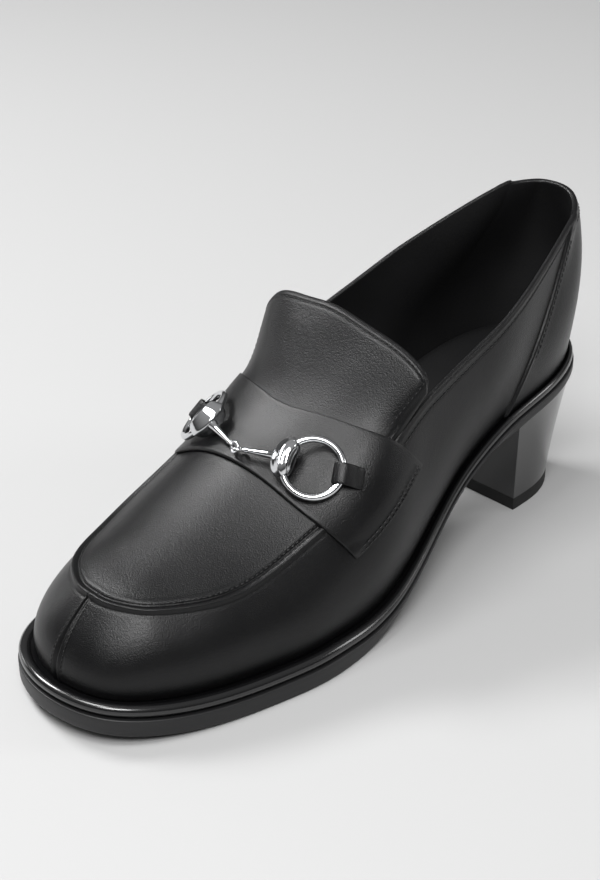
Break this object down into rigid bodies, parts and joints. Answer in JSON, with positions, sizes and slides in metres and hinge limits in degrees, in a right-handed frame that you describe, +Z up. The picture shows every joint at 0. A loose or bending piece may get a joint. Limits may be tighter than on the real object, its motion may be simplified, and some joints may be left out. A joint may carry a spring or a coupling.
{
  "type": "bit loafer",
  "caption": "Heeled leather loafer with a moccasin seam, a strap and a metal snaffle bit on the instep, left shoe.",
  "frame": {"origin": "on the floor, under the middle of the shoe's box", "axes": "toe points to -Y, +X is the outer (lateral) side, +Z up"},
  "size_m": [0.0902, 0.2444, 0.1102],
  "materials": {
    "upper_calf": "polished calf, satin",
    "tongue_calf": "polished calf, satin",
    "insole_leather": "lining leather, matt",
    "strap_calf": "polished calf, satin",
    "keeper_calf": "polished calf",
    "sole_black": "satin",
    "welt_black": "polished edge",
    "heel_black": "gloss",
    "tip_rubber": "matt",
    "bit_metal": "polished"
  },
  "bodies": {
    "root": {"upper": "upper_calf", "tongue": "tongue_calf", "insole": "insole_leather", "strap": "strap_calf", "keeper_lateral": "keeper_calf", "keeper_medial": "keeper_calf", "outsole": "sole_black", "welt": "welt_black", "heel": "heel_black", "heel_tip": "tip_rubber", "bit_ring_lateral": "bit_metal", "bit_ring_medial": "bit_metal", "bit_bar_lateral": "bit_metal", "bit_bar_medial": "bit_metal"}
  },
  "joints": []
}
